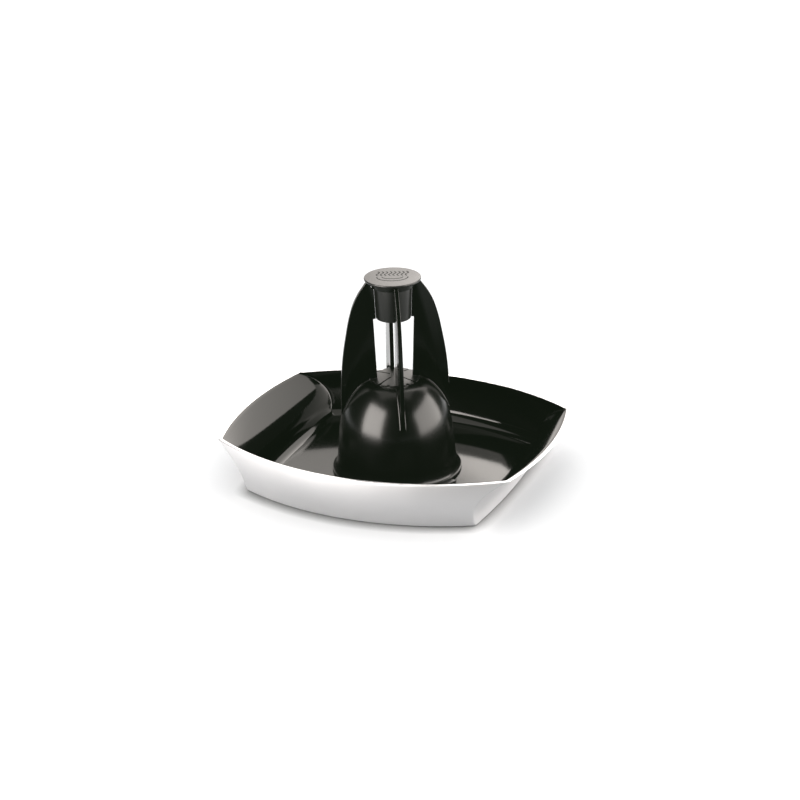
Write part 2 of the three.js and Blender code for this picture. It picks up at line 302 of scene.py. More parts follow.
def pan_skin(section, corner_radius):
    """A closed skin drawn through a stack of (height, inset) rings, its upright seams rounded."""
    bm = bmesh.new()
    points, corners = pan_ring(*section[0])
    ring = [bm.verts.new(p) for p in points]
    first = [bm.edges.new(pair) for pair in zip(ring, ring[1:] + ring[:1])]
    loop = first
    upright = []
    for height, inset in section[1:]:
        order = {v.co.to_tuple(): i for i, v in enumerate(ring)}
        grown = bmesh.ops.extrude_edge_only(bm, edges=loop)["geom"]
        below = ring
        ring = sorted((v for v in grown if isinstance(v, bmesh.types.BMVert)),
                      key=lambda v: order[v.co.to_tuple()])
        for vert, point in zip(ring, pan_ring(height, inset)[0]):
            vert.co = point
        loop = [bm.edges.get(pair) for pair in zip(ring, ring[1:] + ring[:1])]
        upright += [bm.edges.get((below[i], ring[i])) for i in corners]
    bmesh.ops.contextual_create(bm, geom=first)
    bmesh.ops.contextual_create(bm, geom=loop)
    bmesh.ops.bevel(bm, geom=upright, offset=corner_radius, offset_type="OFFSET", segments=4,
                    profile=0.5, affect="EDGES", material=-1, clamp_overlap=True)
    return bm


def quarter_arc(centre_height, centre_inset, radius, start, end, steps):
    """(height, inset) points of an arc. Angle 0 is straight out, 90 degrees straight up."""
    turns = [start + (end - start) * i / steps for i in range(steps + 1)]
    return [(centre_height + radius * math.sin(t), centre_inset - radius * math.cos(t)) for t in turns]


def spaced(low, high, steps):
    """The values that divide the way from low to high into equal steps, without its two ends."""
    return [low + (high - low) * i / steps for i in range(1, steps)]


# ---------------------------------------------------------------- Bell shape

BELL_BASE = BELL_BOX[0][2]
BELL_TOP = BELL_BOX[1][2]
SKIRT = BELL_BOX[1][0]
SKIRT_EDGE = 2 * MM
FLARE_TOP = 17 * MM
WAIST = 58.9 * MM
TAPER = 0.089  # loss of radius for each unit of height
SHOULDER = 45 * MM
OGIVE_TOP = 105.9 * MM  # where the bell would close if its crown were not there
OGIVE_POWER = 2.2
CREST = 93 * MM  # above this the wall rolls in under the crown
CREST_DROP = 3.2 * MM
MOUTH = 20 * MM


def bell_radius(height):
    """Radius of the bell's outer face: a flare, then a taper that rounds over into an ogive."""
    taper = WAIST - TAPER * (height - FLARE_TOP)
    if height < FLARE_TOP:
        edge = BELL_BASE + SKIRT_EDGE
        drop = min(1, (FLARE_TOP - height) / (FLARE_TOP - edge))
        spread = SKIRT - WAIST - TAPER * (FLARE_TOP - edge)
        return taper + spread * (1 - math.sqrt(1 - drop ** 2))
    up = max(0, (height - SHOULDER) / (OGIVE_TOP - SHOULDER))
    crest = max(0, (height - CREST) / (BELL_TOP - CREST))
    return taper * (1 - up ** OGIVE_POWER) ** (1 / OGIVE_POWER) - CREST_DROP * crest ** 3


def bell_wall(low, high, inset, steps):
    """(r, z) points up the bell's wall, closer together towards both ends."""
    heights = [low + (high - low) * (1 - math.cos(math.pi * i / steps)) / 2 for i in range(steps + 1)]
    return [Vector((bell_radius(h) - inset, h)) for h in heights]


# ---------------------------------------------------------------- Fin shape

FIN_TOP = FIN_BOX[1][2]
FIN_FOOT = FIN_BOX[0][2]
CROWN_RADIUS = 24.8 * MM
CROWN_TOP = CROWN_BOX[1][2]
CROWN_DOME = 2.1 * MM
FIN_SWEEP = (  # distance from the axis and height of the outer edge, in millimetres
    (54, FIN_FOOT / MM), (53.6, 88), (52.4, 110), (50.2, 129), (47.1, 147), (44.1, 162),
    (39.8, 176.6), (34.8, 187), (30.4, 193.6), (25.4, FIN_TOP / MM),
)


def smooth_curve(points, steps):
    """A Catmull-Rom curve through points."""
    curve = []
    for i in range(len(points) - 1):
        a, b, c, d = (Vector(points[max(0, min(len(points) - 1, i + k))]) for k in (-1, 0, 1, 2))
        for k in range(steps):
            t = k / steps
            curve.append(0.5 * ((2 * b) + (c - a) * t + (2 * a - 5 * b + 4 * c - d) * t ** 2
                                + (3 * b - a - 3 * c + d) * t ** 3))
    return curve + [Vector(points[-1])]


PLUG_LOW = PLUG_BOX[0][2]
PLUG_FOOT = 17.2 * MM  # radius of the stopper's plug at its foot


def plug_radius(height):
    """Radius of the tapered plug that the fins cradle."""
    share = (height - PLUG_LOW) / (PLUG_BOX[1][2] - PLUG_LOW)
    return PLUG_FOOT + (PLUG_BOX[1][0] - PLUG_FOOT) * share


def crown_height(radius):
    """Height of the crown's domed top at a distance from the axis."""
    return CROWN_TOP - CROWN_DOME * (radius / CROWN_RADIUS) ** 2


def fin_outline():
    """The fin's outline in (r, z), anticlockwise from its foot."""
    sweep = [p * MM for p in smooth_curve(FIN_SWEEP, 5)]
    inner_top, inner_step = 21.3 * MM, 20 * MM
    over_crown = [r * MM for r in (17.6, 20, 22.5)]
    ledge = COLLAR_BOX[0][2] - 1 * MM
    step = CROWN_RADIUS + CLEAR
    seat = [p + Vector((CLEAR, 0)) for p in bell_wall(FIN_FOOT, BELL_TOP, 0, 14)]
    inner = [(inner_top, FIN_TOP), (inner_top, ledge), (plug_radius(ledge) + CLEAR, ledge),
             (plug_radius(PLUG_LOW) + CLEAR, PLUG_LOW), (inner_step, PLUG_LOW)]
    inner += [(r, crown_height(r) + CLEAR) for r in (*over_crown, step)]
    return sweep + [Vector(p) for p in inner] + seat[-2:0:-1]


# ---------------------------------------------------------------- Materials


def node(tree, kind, settings=None, links=None):
    """Adds a shader node, sets its sockets or properties, and links its inputs from other sockets."""
    made = tree.nodes.new(kind)
    for key, value in (settings or {}).items():
        if isinstance(key, int) or key in made.inputs:
            made.inputs[key].default_value = value
        else:
            setattr(made, key, value)
    for key, source in (links or {}).items():
        tree.links.new(source, made.inputs[key])
    return made


def blank_material(name, **constants):
    """A new material with its Principled shader's constant sockets set, and its object coordinates."""
    material = bpy.data.materials.new(name)
    material.use_nodes = True
    tree = material.node_tree
    shader = tree.nodes["Principled BSDF"]
    for key, value in constants.items():
        shader.inputs[key.replace("_", " ")].default_value = value
    position = node(tree, "ShaderNodeTexCoord").outputs["Object"]
    return material, tree, position


def shade(colour, share=1.0):
    """A colour with its channels scaled, and full alpha."""
    return (*(channel * share for channel in colour), 1)


def surfaced(material, rough, bump=None, tint=None):
    """Links a material's roughness, bump and tint nodes into its shader."""
    tree = material.node_tree
    inputs = tree.nodes["Principled BSDF"].inputs
    tree.links.new(rough.outputs["Result"], inputs["Roughness"])
    if bump:
        tree.links.new(bump.outputs["Normal"], inputs["Normal"])
    if tint:
        tree.links.new(tint.outputs["Result"], inputs["Base Color"])
    return material


def cast_aluminium():
    """Sand-cast aluminium, tumbled to a satin: bright and soft, with faint cloudy patches and a fine
    pebble that only shows where light grazes it. The machined rim is smoother and brighter."""
    grain, cloud, relief = 0.9 * MM, 35 * MM, 0.05 * MM
    rim_low, rim_high, rim_rough = PAN_H - 0.9 * MM, PAN_H - 0.2 * MM, 0.34
    material, tree, position = blank_material("cast_aluminium_satin", Metallic=1.0)
    colour = bpy.context.scene.roaster_colours.aluminium
    clouds = node(tree, "ShaderNodeTexNoise", {"Scale": 1 / cloud, "Detail": 3.0}, {"Vector": position})
    pebble = node(tree, "ShaderNodeTexNoise", {"Scale": 1 / grain, "Detail": 2.0}, {"Vector": position})
    height = node(tree, "ShaderNodeSeparateXYZ", links={"Vector": position}).outputs["Z"]
    rim = node(tree, "ShaderNodeMapRange", {"From Min": rim_low, "From Max": rim_high}, {"Value": height})
    satin = node(tree, "ShaderNodeMapRange", {"To Min": 0.44, "To Max": 0.54},
                 {"Value": clouds.outputs["Fac"]})
    rough = node(tree, "ShaderNodeMix", {"data_type": "FLOAT", "B": rim_rough},
                 {"Factor": rim.outputs["Result"], "A": satin.outputs["Result"]})
    tint = node(tree, "ShaderNodeMix", {"data_type": "RGBA", "A": shade(colour), "B": shade(colour, 0.93)},
                {"Factor": clouds.outputs["Fac"]})
    bump = node(tree, "ShaderNodeBump", {"Strength": 0.12, "Distance": relief},
                {"Height": pebble.outputs["Fac"]})
    return surfaced(material, rough, bump, tint)


def non_stick(name="non_stick_coating", ripple=0.35, gloss_range=(0.18, 0.25)):
    """Sprayed and baked fluoropolymer coat: near black with a green cast, glossy but soft, with the
    orange peel of spray that breaks up the edge of every highlight."""
    peel, haze, relief = 1.1 * MM, 28 * MM, 0.05 * MM
    material, tree, position = blank_material(name, IOR=1.33)
    colour = bpy.context.scene.roaster_colours.coating
    fine = node(tree, "ShaderNodeTexNoise", {"Scale": 1 / peel, "Detail": 2.5, "Roughness": 0.55},
                {"Vector": position})
    broad = node(tree, "ShaderNodeTexNoise", {"Scale": 1 / haze, "Detail": 2.0}, {"Vector": position})
    rough = node(tree, "ShaderNodeMapRange", {"To Min": gloss_range[0], "To Max": gloss_range[1]},
                 {"Value": broad.outputs["Fac"]})
    tint = node(tree, "ShaderNodeMix", {"data_type": "RGBA", "A": shade(colour), "B": shade(colour, 1.5)},
                {"Factor": fine.outputs["Fac"]})
    bump = node(tree, "ShaderNodeBump", {"Strength": ripple, "Distance": relief},
                {"Height": fine.outputs["Fac"]})
    return surfaced(material, rough, bump, tint)


def black_anodised():
    """Bead-blasted aluminium, anodised and dyed black: a close satin with an even grit that turns pale
    where light grazes it. Real blast grit is too fine to show, so it is drawn coarser."""
    grit, relief = 0.5 * MM, 0.04 * MM
    material, tree, position = blank_material("black_anodised_satin", IOR=1.45)
    colour = bpy.context.scene.roaster_colours.anodised
    speck = node(tree, "ShaderNodeTexNoise", {"Scale": 1 / grit, "Detail": 2.0}, {"Vector": position})
    rough = node(tree, "ShaderNodeMapRange", {"To Min": 0.25, "To Max": 0.33},
                 {"Value": speck.outputs["Fac"]})
    tint = node(tree, "ShaderNodeMix",
                {"data_type": "RGBA", "A": shade(colour, 0.86), "B": shade(colour, 1.12)},
                {"Factor": speck.outputs["Fac"]})
    bump = node(tree, "ShaderNodeBump", {"Strength": 0.2, "Distance": relief},
                {"Height": speck.outputs["Fac"]})
    return surfaced(material, rough, bump, tint)


def spun_steel():
    """Spun stainless sheet: fine level rings left by the spinning tool, which break up its shine. Real
    tool marks are too fine to show, so they are drawn coarser."""
    line, relief, stretch = 0.25 * MM, 0.03 * MM, 0.05
    material, tree, position = blank_material("spun_stainless_steel", Metallic=1.0)
    shader = tree.nodes["Principled BSDF"]
    shader.inputs["Base Color"].default_value = shade(bpy.context.scene.roaster_colours.steel)
    rings = node(tree, "ShaderNodeMapping", {"Scale": (stretch, stretch, 1.0)}, {"Vector": position})
    marks = node(tree, "ShaderNodeTexNoise", {"Scale": 1 / line, "Detail": 3.0},
                 {"Vector": rings.outputs["Vector"]})
    rough = node(tree, "ShaderNodeMapRange", {"To Min": 0.2, "To Max": 0.38},
                 {"Value": marks.outputs["Fac"]})
    bump = node(tree, "ShaderNodeBump", {"Strength": 0.12, "Distance": relief},
                {"Height": marks.outputs["Fac"]})
    return surfaced(material, rough, bump)


def seal_silicone():
    """Moulded silicone rubber: matte and slightly dusty."""
    dust = 2.5 * MM
    material, tree, position = blank_material("moulded_silicone", IOR=1.41)
    colour = bpy.context.scene.roaster_colours.silicone
    bloom = node(tree, "ShaderNodeTexNoise", {"Scale": 1 / dust, "Detail": 4.0}, {"Vector": position})
    rough = node(tree, "ShaderNodeMapRange", {"To Min": 0.75, "To Max": 0.9},
                 {"Value": bloom.outputs["Fac"]})
    tint = node(tree, "ShaderNodeMix", {"data_type": "RGBA", "A": shade(colour), "B": shade(colour, 1.4)},
                {"Factor": bloom.outputs["Fac"]})
    return surfaced(material, rough, tint=tint)


FINISHES = {
    "cast_aluminium": cast_aluminium,
    "non_stick": non_stick,
    "stopper_black": black_anodised,
    "pressed_steel": spun_steel,
    "seal_silicone": seal_silicone,
}


def finish(slot_name):
    """The material of a slot, made the first time it is asked for."""
    maker = FINISHES[slot_name]
    if slot_name not in finish.made:
        finish.made[slot_name] = maker()
    return finish.made[slot_name]


finish.made = {}


# ---------------------------------------------------------------- Operators


class ROASTER_OT_pan(bpy.types.Operator):
    """Cast pan: bare body, black lining and the two locating ribs"""

    bl_idname = "roaster.pan"
    bl_label = "Pan"

    def execute(self, context):
        sizes = context.scene.roaster_sizes
        self.body(sizes)
        self.lining(sizes)
        for number, middle in ((1, 45), (2, 225)):
            self.rib(f"pan_rib_{number}", math.radians(middle))
        return {"FINISHED"}

    def body(self, sizes):
        """The bare casting, closed: base, outer wall, rim and inner wall."""
        base_round, rim_round, wall = 1.6 * MM, 0.7 * MM, sizes.pan_wall
        foot = sizes.pan_floor + sizes.pan_foot
        section = quarter_arc(base_round, base_round, base_round, -QUARTER, 0, 4)
        section += [(h, 0) for h in spaced(base_round, PAN_H - rim_round, 22)]
        section += quarter_arc(PAN_H - rim_round, rim_round, rim_round, 0, QUARTER, 5)
        section += quarter_arc(PAN_H - rim_round, wall - rim_round, rim_round, QUARTER, math.pi, 5)
        section += [(h, wall) for h in spaced(PAN_H - rim_round, foot, 18)]
        section += quarter_arc(foot, wall + sizes.pan_foot, sizes.pan_foot, 0, -QUARTER, 8)
        bm = pan_skin(section, sizes.pan_corner)
        finished(bm, "pan_body", "pan", finish("cast_aluminium"), ["roasting_pan"])

    def lining(self, sizes):
        """The non-stick coat on the inside, a thin closed shell just off the casting."""
        lift, bare_rim = 0.03 * MM, 0.5 * MM
        top = PAN_H - bare_rim
        foot = sizes.pan_floor + sizes.pan_foot
        inner, outer = [], []
        for face, inset in ((outer, lift), (inner, lift + sizes.lining)):
            wall = sizes.pan_wall + inset
            radius = sizes.pan_foot - inset
            face += [(top, wall)]
            face += [(h, wall) for h in spaced(top, foot, 20)]
            face += quarter_arc(foot, wall + radius, radius, 0, -QUARTER, 10)
        bm = pan_skin(outer[::-1] + inner, sizes.pan_corner)
        smooth = non_stick("non_stick_lining", ripple=0.16, gloss_range=(0.06, 0.1))
        finished(bm, "pan_lining", "pan", smooth, ["roasting_pan"])

    def rib(self, name, middle):
        """A low arc rib beside the bell's skirt, its section spun through the arc and capped."""
        low, high, near, far = 2.9 * MM, 8 * MM, 66.5 * MM, 75 * MM
        span, square, soft = math.radians(56), 1.0, 0.8 * MM
        outline = [(near, low), (far, low), (far, high), (near, high)]
        bm = bmesh.new()
        section = bm.faces.new([bm.verts.new((r, 0, z)) for r, z in outline])
        bmesh.ops.spin(bm, geom=[section], axis=(0, 0, 1), cent=(0, 0, 0), angle=span, steps=28,
                       use_merge=False)
        bm.faces.new([bm.verts.new((r, 0, z)) for r, z in outline])
        bmesh.ops.remove_doubles(bm, verts=bm.verts, dist=1e-6)
        edges = [e for e in bm.edges if len(e.link_faces) == 2 and e.calc_face_angle(0) > square]
        bmesh.ops.bevel(bm, geom=edges, offset=soft, offset_type="OFFSET", segments=3, profile=0.5,
                        affect="EDGES", material=-1)
        bmesh.ops.transform(bm, matrix=facing(middle - span / 2), verts=bm.verts)
        finished(bm, name, "pan", finish("non_stick"), ["roasting_pan"])


class ROASTER_OT_cup(bpy.types.Operator):
    """Loose spun cup for the liquid, with a rolled bead"""

    bl_idname = "roaster.cup"
    bl_label = "Liquid cup"

    def execute(self, context):
        low, high = CUP_BOX[0][2], CUP_BOX[1][2]
        radius, bead, wall = 42 * MM, 1.6 * MM, 1.2 * MM
        corners = [
            (0, low, 0), (radius, low, 5 * MM), (radius, high - bead, 0.4 * MM),
            (radius + bead, high - bead, 0.5 * MM), (radius + bead, high, 0.8 * MM),
            (radius - wall, high, 0.6 * MM), (radius - wall, low + wall, 4 * MM), (0, low + wall, 0),
        ]
        bm = turned(rounded(corners), context.scene.roaster_sizes.facets)
        finished(bm, "liquid_cup_spun", "cup", finish("pressed_steel"), ["liquid_cup"])
        return {"FINISHED"}


class ROASTER_OT_bell(bpy.types.Operator):
    """Steam bell with its flared skirt, and the slotted crown on top"""

    bl_idname = "roaster.bell"
    bl_label = "Steam bell"

    def execute(self, context):
        sizes = context.scene.roaster_sizes
        self.bell(sizes)
        self.crown(sizes)
        return {"FINISHED"}

    def bell(self, sizes):
        """The hollow bell in one closed turn: lip, outer wall, mouth under the crown, inner wall."""
        shell = sizes.bell_shell
        edge = BELL_BASE + SKIRT_EDGE
        lip = rounded([(SKIRT - shell, BELL_BASE, 0), (SKIRT, BELL_BASE, 0.6 * MM), (SKIRT, edge, 0)])
        outer = bell_wall(edge, FLARE_TOP, 0, 14) + bell_wall(FLARE_TOP, SHOULDER, 0, 10)[1:]
        outer += bell_wall(SHOULDER, BELL_TOP, 0, 36)[1:]
        under = BELL_TOP - shell
        mouth = [Vector((MOUTH, BELL_TOP)), Vector((MOUTH, under))]
        inner = bell_wall(edge, under, shell, 40)[::-1]
        path = lip + outer[1:] + mouth + inner
        bm = turned(path, sizes.facets, closed=True)
        finished(bm, "bell_shell", "infuser", finish("non_stick"), ["infuser_dome"],
                 crease=50)

    def crown(self, sizes):
        """The raised disc, cut by four radial slots and by notches around its edge."""
        under = BELL_TOP + CLEAR
        ring_out, ring_in, low = MOUTH - CLEAR, MOUTH - CLEAR - 2 * MM, CROWN_BOX[0][2]
        corners = [
            (0, under, 0), (ring_in, under, 0.3 * MM), (ring_in, low, 0), (ring_out, low, 0),
            (ring_out, under, 0.2 * MM), (CROWN_RADIUS, under, 0.3 * MM),
            (CROWN_RADIUS, crown_height(CROWN_RADIUS), 0.7 * MM),
        ]
        dome = [Vector((CROWN_RADIUS * r, crown_height(CROWN_RADIUS * r)))
                for r in (0.95, 0.85, 0.75, 0.65, 0.5, 0.33, 0.16, 0)]
        corners.append((dome[0].x, dome[0].y, 0))
        bm = turned(rounded(corners) + dome[1:], sizes.facets)
        grainy = non_stick("non_stick_crown", ripple=1.6, gloss_range=(0.3, 0.42))
        crown = finished(bm, "crown_disc", "infuser", grainy, ["vent_crown"])
        carve(crown, self.crown_cuts(), edge=0.25 * MM)

    def crown_cuts(self):
        """Four slots between the fins, with three notches in the edge around each."""
        slot_start, slot_width, notch, deep = 6 * MM, 1.6 * MM, 1.9 * MM, 12 * MM
        notch_turns = [math.radians(degrees) for degrees in (-22, 0, 22)]
        bm = bmesh.new()
        for quarter in range(4):
            middle = FIN_TURN + QUARTER / 2 + quarter * QUARTER
            add_box(bm, (CROWN_RADIUS, slot_width, deep), (slot_start + CROWN_RADIUS / 2, 0, CROWN_TOP),
                    facing(middle))
            for turn in notch_turns:
                place = facing(middle + turn) @ Matrix.Translation((CROWN_RADIUS, 0, CROWN_TOP))
                bmesh.ops.create_cone(bm, cap_ends=True, segments=20, radius1=notch, radius2=notch,
                                      depth=deep, matrix=place)
        return bm


class ROASTER_OT_fins(bpy.types.Operator):
    """Four upright fins, their weld beads on the bell, and the collar between their tops"""

    bl_idname = "roaster.fins"
    bl_label = "Fins and collar"

    def execute(self, context):
        sizes = context.scene.roaster_sizes
        smooth = non_stick("non_stick_fins", ripple=0.25, gloss_range=(0.1, 0.15))
        for quarter, side in enumerate(("front", "right", "rear", "left")):
            turn = facing(FIN_TURN + quarter * QUARTER)
            self.fin(sizes, side, turn, smooth)
            self.weld(sizes, side, turn)
        self.collar(sizes)
        return {"FINISHED"}

    def fin(self, sizes, side, turn, smooth):
        """A flat plate, extruded from its outline and rounded along its edges."""
        half, shortest = sizes.fin_thickness / 2, 0.05 * MM
        bm = bmesh.new()
        face = bm.faces.new([bm.verts.new((r, -half, z)) for r, z in fin_outline()])
        made = bmesh.ops.extrude_face_region(bm, geom=[face])["geom"]
        moved = [v for v in made if isinstance(v, bmesh.types.BMVert)]
        bmesh.ops.translate(bm, vec=(0, 2 * half, 0), verts=moved)
        rims = [e for e in bm.edges if abs(e.verts[0].co.y - e.verts[1].co.y) < half
                and e.calc_length() > shortest]
        bmesh.ops.bevel(bm, geom=rims, offset=sizes.fin_edge, offset_type="OFFSET", segments=4,
                        profile=0.5, affect="EDGES", material=-1, clamp_overlap=True)
        bmesh.ops.transform(bm, matrix=turn, verts=bm.verts)
        finished(bm, f"fin_{side}_plate", "infuser", smooth, [f"fin_{side}"])

    def weld(self, sizes, side, turn):
        """A bead along each side of the fin where it meets the bell."""
        across = sizes.fin_thickness / 2 + 0.25 * MM
        wall = bell_wall(FIN_FOOT + 1 * MM, BELL_TOP - CLEAR, 0, 24)
        lines = [[turn @ Vector((math.sqrt(p.x ** 2 - across ** 2), sign * across, p.y)) for p in wall]
                 for sign in (-1, 1)]
        bm = tubes(f"weld_{side}", lines, sizes.weld, 3)
        finished(bm, f"weld_{side}", "infuser", finish("non_stick"), [f"fin_{side}"])

    def collar(self, sizes):
        """The ring that joins the fins' tops, its path started halfway up its bore."""
        low, high, outer = COLLAR_BOX[0][2], COLLAR_BOX[1][2], COLLAR_BOX[1][0]
        inner, soft = 19.2 * MM, 0.4 * MM
        halfway = (inner, (low + high) / 2, 0)
        path = rounded([halfway, (inner, low, soft), (outer, low, soft), (outer, high, soft),
                        (inner, high, soft), halfway])
        bm = turned(path[:-1], sizes.facets, closed=True)
        finished(bm, "collar_ring", "infuser", finish("non_stick"), ["stopper_collar"])


class ROASTER_OT_stopper(bpy.types.Operator):
    """Tapered plug, its wide cap with a plain steam motif, and the screw and washer under it"""

    bl_idname = "roaster.stopper"
    bl_label = "Stopper"

    def execute(self, context):
        sizes = context.scene.roaster_sizes
        self.plug(sizes)
        self.cap(sizes)
        self.motif()
        self.washer(sizes)
        self.screw()
        return {"FINISHED"}

    def plug(self, sizes):
        """The tapered plug, bored for its screw, with a recess below and a seat for the cap's boss."""
        low, high, top_radius = PLUG_LOW, PLUG_BOX[1][2], PLUG_BOX[1][0]
        recess, recess_top = 11 * MM, low + 8 * MM
        bore, seat, seat_low = 1.8 * MM, 8.3 * MM, high - 14 * MM
        corners = [
            (bore, recess_top, 0), (recess, recess_top, 0.6 * MM), (recess, low, 0.6 * MM),
            (PLUG_FOOT, low, 1.0 * MM), (top_radius, high, 0.5 * MM), (seat, high, 0.3 * MM),
            (seat, seat_low, 0.3 * MM), (bore, seat_low, 0),
        ]
        bm = turned(rounded(corners), sizes.facets, closed=True)
        finished(bm, "plug_body", "stopper", finish("stopper_black"), ["stopper_body"])

    def cap(self, sizes):
        """The wide disc, faintly crowned, with a boss below that the screw bites into."""
        radius, top, low = CAP_BOX[1][0], CAP_BOX[1][2], CAP_BOX[0][2]
        under = top - 3.1 * MM
        pilot_end, brow, rim_drop = under - 6 * MM, radius * 0.55, 0.6 * MM
        boss, pilot = 8 * MM, 1.6 * MM
        corners = [
            (0, pilot_end, 0), (pilot, pilot_end, 0), (pilot, low, 0), (boss, low, 0.4 * MM),
            (boss, under, 0.4 * MM), (radius, under, 1.1 * MM), (radius, top - rim_drop, 0.9 * MM),
            (brow, top - 0.25 * MM, 20 * MM), (0, top - 0.2 * MM, 0),
        ]
        bm = turned(rounded(corners, steps=6), sizes.facets)
        finished(bm, "cap_disc", "stopper", finish("stopper_black"), ["stopper_cap"])

    def motif(self):
        """A row of short wavy steam lines over the two arcs of a dish, standing a hair proud of the cap."""
        top = CAP_BOX[1][2] - 0.25 * MM
        line_radius, flatness = 0.6 * MM, 0.3
        wave, steam_top, steam_rise = 1.5, 14, 12  # in millimetres on the cap, as are the arcs' sizes
        steps = [k / 16 for k in range(17)]
        lines = [[(x + wave * math.sin(t * math.tau), steam_top - steam_rise * t) for t in steps]
                 for x in range(-14, 15, 4)]
        lines += [[(-reach * math.cos(math.pi * t), low - deep * math.sin(math.pi * t)) for t in steps]
                  for reach, low, deep in ((15, -2, 11), (10, -2, 5))]
        turn = facing(math.radians(22.7) + QUARTER)
        lines = [[turn @ Vector((x * MM, y * MM, top)) for x, y in line] for line in lines]
        bm = tubes("steam_motif", lines, line_radius, 2)
        level = Matrix.Translation((0, 0, top))
        flatten = level @ Matrix.Diagonal((1, 1, flatness, 1)) @ level.inverted()
        bmesh.ops.transform(bm, matrix=flatten, verts=bm.verts)
        finished(bm, "cap_motif", "stopper", finish("seal_silicone"), ["stopper_cap"])

    def washer(self, sizes):
        """A flat ring under the plug, its path started halfway up its bore."""
        low, high, outer = WASHER_BOX[0][2], WASHER_BOX[1][2], WASHER_BOX[1][0]
        inner, soft = 1.8 * MM, 0.3 * MM
        halfway = (inner, (low + high) / 2, 0)
        path = rounded([halfway, (inner, low, soft / 2), (outer, low, soft), (outer, high, soft),
                        (inner, high, soft / 2), halfway], steps=3)
        bm = turned(path[:-1], sizes.facets // 2, closed=True)
        finished(bm, "washer_ring", "stopper", finish("seal_silicone"), ["stopper_washer"])

    def screw(self):
        """A screw whose domed head points down, with a cross recess."""
        low, high, head = SCREW_BOX[0][2], SCREW_BOX[1][2], SCREW_BOX[1][0]
        shank, head_top = 1.3 * MM, low + 2.4 * MM
        recess = (4.4 * MM, 0.9 * MM, 2.4 * MM)
        corners = [
            (0, low, 0), (head, low, 0.8 * MM), (head, head_top, 0.2 * MM), (shank, head_top, 0.1 * MM),
            (shank, high, 0.2 * MM), (0, high, 0),
        ]
        bm = turned(rounded(corners, steps=4), 48)
        screw = finished(bm, "screw_pan_head", "stopper", finish("pressed_steel"),
                         ["stopper_screw"])
        cross = bmesh.new()
        for turn in (0, QUARTER):
            add_box(cross, recess, (0, 0, low), Matrix.Rotation(turn, 4, "Z"))
        carve(screw, cross)


# ---------------------------------------------------------------- Stage

WARM = (1.03, 0.97, 0.92)  # tint of the lamps and of the backdrop as mirrored
BLACK_LEVEL = (-0.0042, -0.0062, -0.0036)  # below zero it lifts the darkest tone, here to a green black
ROOM_LIGHT = 1.38  # strength of the room on matte surfaces
BACKDROP = (1.95, 0.03)  # its strength in mirrored rays, straight behind the object and elsewhere
LAMP_AIM = Vector((0, 0, 0.06))
LAMP_DISTANCE = 3.0
LAMPS = (  # name, degrees right of the camera, degrees up, width, height (metres), watts, roll
    ("left_softbox", -52, 20, 2.4, 2.5, 340, 0),
    ("right_softbox", 80, 15, 3.8, 2.3, 285, 0),
    ("back_softbox", 156, 45, 3.2, 2.8, 92, -33),
    ("overhead", 180, 89, 3.6, 2.4, 46, 0),
)


